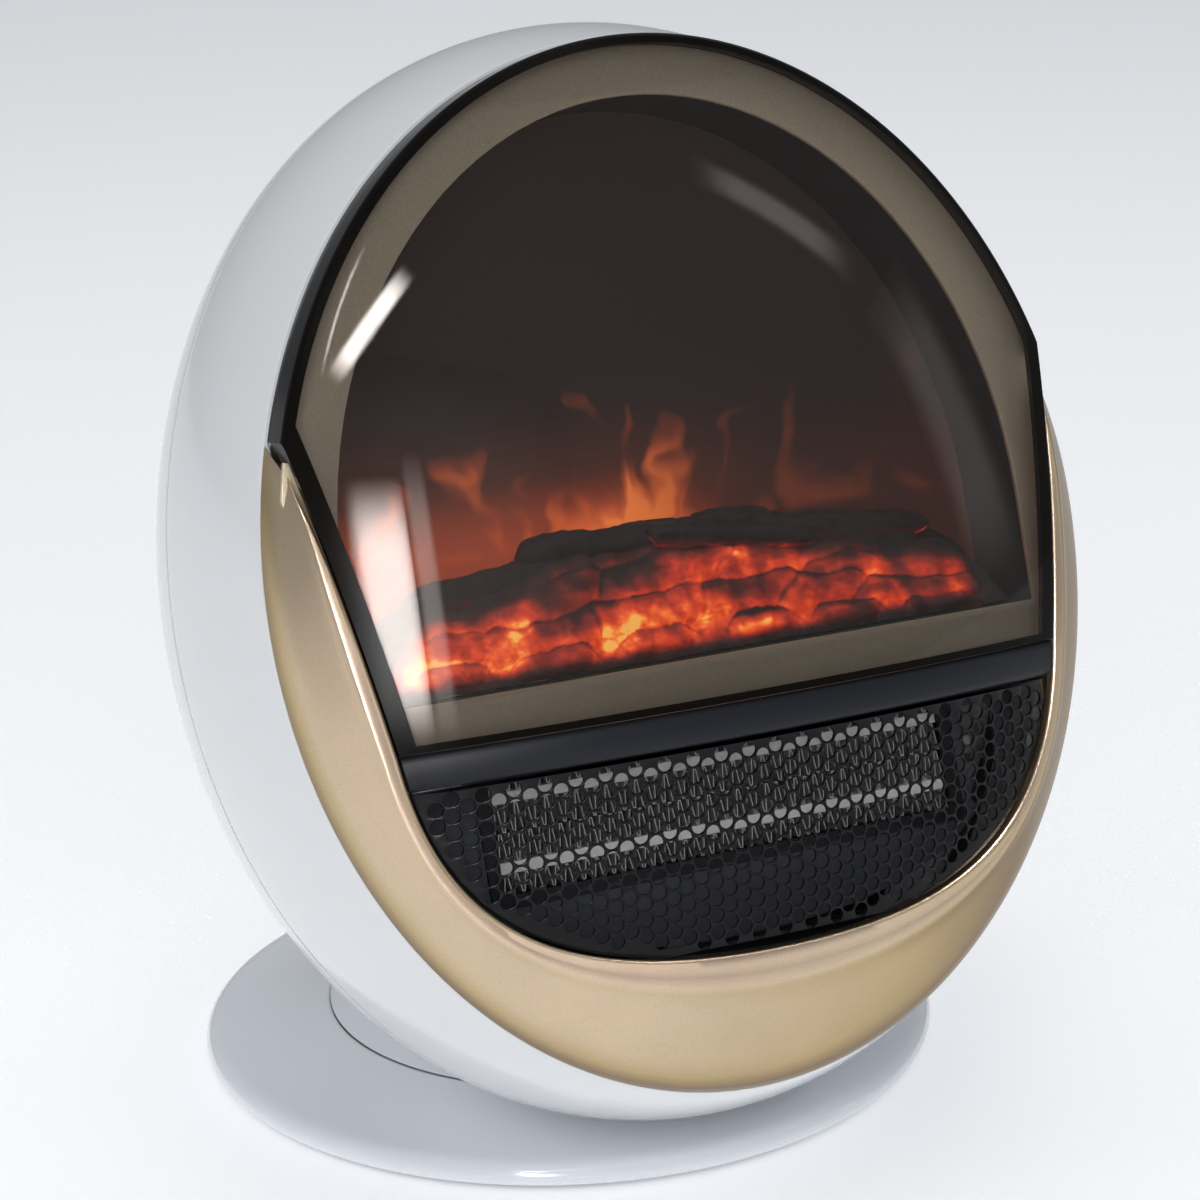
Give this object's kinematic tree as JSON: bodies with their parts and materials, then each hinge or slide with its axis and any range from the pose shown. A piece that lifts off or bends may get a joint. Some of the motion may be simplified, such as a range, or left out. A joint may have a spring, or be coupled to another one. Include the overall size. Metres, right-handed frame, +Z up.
{
  "type": "fan heater",
  "caption": "Ball-shaped electric fan heater with a smoked flame-effect window over a grille in a satin crescent, on a low swivelling base.",
  "frame": {"origin": "the swivel axis at the underside of the base plate, 2 mm above the table the feet stand on", "axes": "+Z up along the swivel axis; the window and grille face -Y; +X is on the right of a viewer who looks at the front"},
  "size_m": [0.2776, 0.2943, 0.3421],
  "materials": {
    "shell_white": "gloss white",
    "base_white": "gloss white, slightly blue",
    "champagne": "satin champagne coat",
    "smoked_window": "smoked, polished",
    "bronze_frame": "satin bronze coat",
    "dark_plastic": "fine matt",
    "gloss_black": "gloss black",
    "aluminium": "bare foil",
    "steel": "bare sheet",
    "ember_bed": "translucent, lit from below",
    "flame_sheet": "translucent, frosted",
    "circuit_board": "solder mask",
    "nylon": "natural nylon",
    "rubber": "matt",
    "rotor_plastic": "moulded",
    "ceramic_white": "fired, matt"
  },
  "bodies": {
    "base": {"base_disc": "base_white", "base_plate": "dark_plastic", "foot_1": "rubber", "foot_2": "rubber", "foot_3": "rubber", "foot_4": "rubber", "foot_5": "rubber", "tip_switch": "dark_plastic", "glide_ring": "nylon"},
    "plunger": {"tip_plunger": "nylon"},
    "crank": {"crank_arm": "nylon"},
    "fan": {"fan_rotor": "rotor_plastic"},
    "spinner": {"flame_spinner": "aluminium"},
    "knob": {"thermostat_knob": "shell_white"},
    "heat_rocker": {"rocker_heat": "gloss_black"},
    "swing_rocker": {"rocker_swing": "gloss_black"},
    "head": {"clip_ring": "steel", "swivel_neck": "base_white", "oscillation_motor": "steel", "cord_gland": "dark_plastic", "front_shell": "shell_white", "rear_shell": "shell_white", "gold_crescent": "champagne", "window_dome": "smoked_window", "divider_bar": "dark_plastic", "outlet_grille": "gloss_black", "flame_frame": "bronze_frame", "flame_box": "dark_plastic", "flame_screen": "flame_sheet", "log_bed": "ember_bed", "led_board": "circuit_board", "spinner_motor": "steel", "heat_shield": "steel", "element_frame": "dark_plastic", "fin_row_top": "aluminium", "fin_row_upper": "aluminium", "fin_row_lower": "aluminium", "fin_row_bottom": "aluminium", "heater_bar_upper": "ceramic_white", "heater_bar_lower": "ceramic_white", "thermal_cutout": "steel", "fan_housing": "dark_plastic", "rotor_bush": "rubber", "fan_motor": "steel", "control_panel": "dark_plastic", "thermostat": "ceramic_white", "switch_heat": "dark_plastic", "switch_swing": "dark_plastic"}
  },
  "joints": [
    {"name": "body_swivel", "type": "hinge", "parent": "base", "child": "head", "pos_m": [0, 0, 0], "axis": [0, 0, 1], "range_deg": [-30, 30]},
    {"name": "crank_turn", "type": "hinge", "parent": "head", "child": "crank", "pos_m": [0, 0.03, 0], "axis": [0, 0, 1], "range_deg": [-120, 120]},
    {"name": "fan_spin", "type": "hinge", "parent": "head", "child": "fan", "pos_m": [0, -0.07982, 0.09693], "axis": [1, 0, 0], "continuous": true},
    {"name": "flame_spin", "type": "hinge", "parent": "head", "child": "spinner", "pos_m": [0, -0.07618, 0.16524], "axis": [1, 0, 0], "continuous": true},
    {"name": "knob_turn", "type": "hinge", "parent": "head", "child": "knob", "pos_m": [-0.026, 0.04765, 0.22119], "axis": [0, -0.9494, 0.314], "range_deg": [0, 270]},
    {"name": "heat_rock", "type": "hinge", "parent": "head", "child": "heat_rocker", "pos_m": [0.008, 0.0486, 0.22088], "axis": [1, 0, 0], "range_deg": [-12, 12]},
    {"name": "swing_rock", "type": "hinge", "parent": "head", "child": "swing_rocker", "pos_m": [0.03, 0.0486, 0.22088], "axis": [1, 0, 0], "range_deg": [0, 24]},
    {"name": "plunger_slide", "type": "slide", "parent": "base", "child": "plunger", "axis": [0, 0, -1], "range_m": [0, 0.0025], "stiffness_N_per_m": 60, "springref_m": 0.004}
  ],
  "couplings": [
    {"joint": "crank_turn", "follows": "body_swivel", "ratio": -4}
  ]
}
